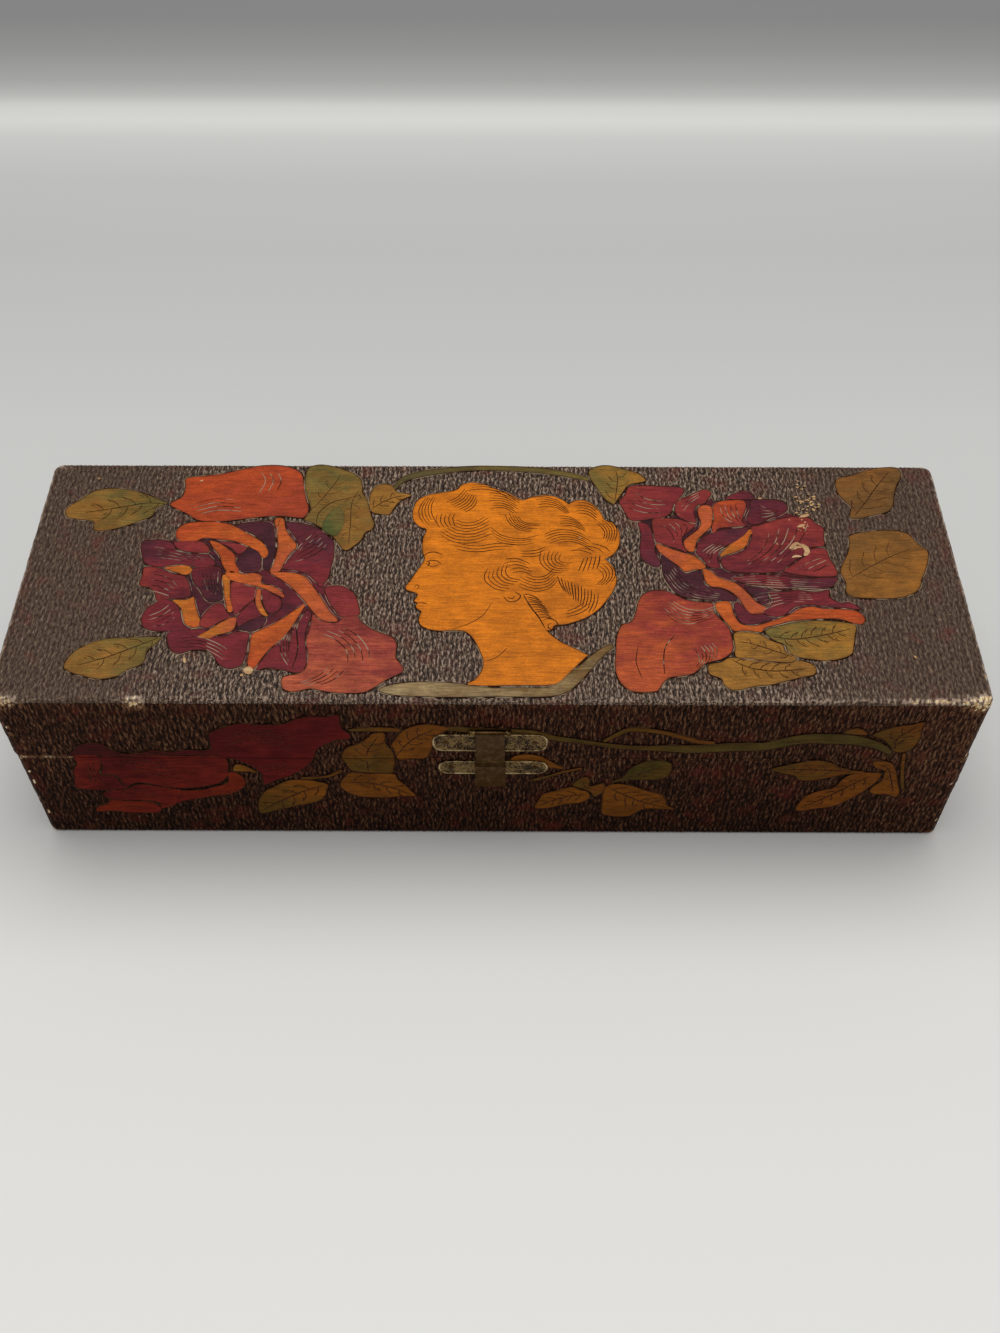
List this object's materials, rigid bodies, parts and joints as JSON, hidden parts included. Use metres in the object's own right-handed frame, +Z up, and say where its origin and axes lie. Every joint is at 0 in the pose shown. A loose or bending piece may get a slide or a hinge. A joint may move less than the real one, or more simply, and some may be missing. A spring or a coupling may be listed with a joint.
{
  "type": "hinged wooden trinket box",
  "caption": "Long low wooden box with comb-jointed walls, a lid on two butt hinges at the back and a small stamped clasp with a swinging hasp at the front.",
  "frame": {"origin": "under the middle of the closed box, on the surface that it stands on", "axes": "+X along the box's length to the right, +Y from the clasp's side to the hinges' side, +Z up"},
  "size_m": [0.2846, 0.1031, 0.07],
  "materials": {
    "bare_wood": "bare light hardwood, scorched and stained by hand on its outer faces",
    "nail_steel": "dull",
    "hinge_brass": "dull plated",
    "hinge_steel": "dull",
    "clasp_brass": "aged and stippled",
    "hasp_brass": "aged, smooth"
  },
  "bodies": {
    "base": {"bottom_board": "bare_wood", "base_front_board": "bare_wood", "base_back_board": "bare_wood", "base_left_board": "bare_wood", "base_right_board": "bare_wood", "bottom_brads": "nail_steel", "hinge_left_base_leaf": "hinge_brass", "hinge_right_base_leaf": "hinge_brass", "hinge_left_pin": "hinge_steel", "hinge_right_pin": "hinge_steel", "hinge_base_nails": "hinge_brass", "clasp_keeper": "clasp_brass", "clasp_keeper_nails": "clasp_brass"},
    "lid": {"lid_top_board": "bare_wood", "lid_front_board": "bare_wood", "lid_back_board": "bare_wood", "lid_left_board": "bare_wood", "lid_right_board": "bare_wood", "hinge_left_lid_leaf": "hinge_brass", "hinge_right_lid_leaf": "hinge_brass", "hinge_lid_nails": "hinge_brass", "clasp_plate": "clasp_brass", "clasp_plate_nails": "clasp_brass", "clasp_pin": "clasp_brass"},
    "hasp": {"clasp_hasp": "hasp_brass"}
  },
  "joints": [
    {"name": "lid_hinge", "type": "hinge", "parent": "base", "child": "lid", "pos_m": [0, 0.0497, 0.042], "axis": [-1, 0, 0], "range_deg": [0, 185]},
    {"name": "hasp_hinge", "type": "hinge", "parent": "lid", "child": "hasp", "pos_m": [-0.0003, -0.04913, 0.056], "axis": [-1, 0, 0], "range_deg": [0, 170]}
  ]
}
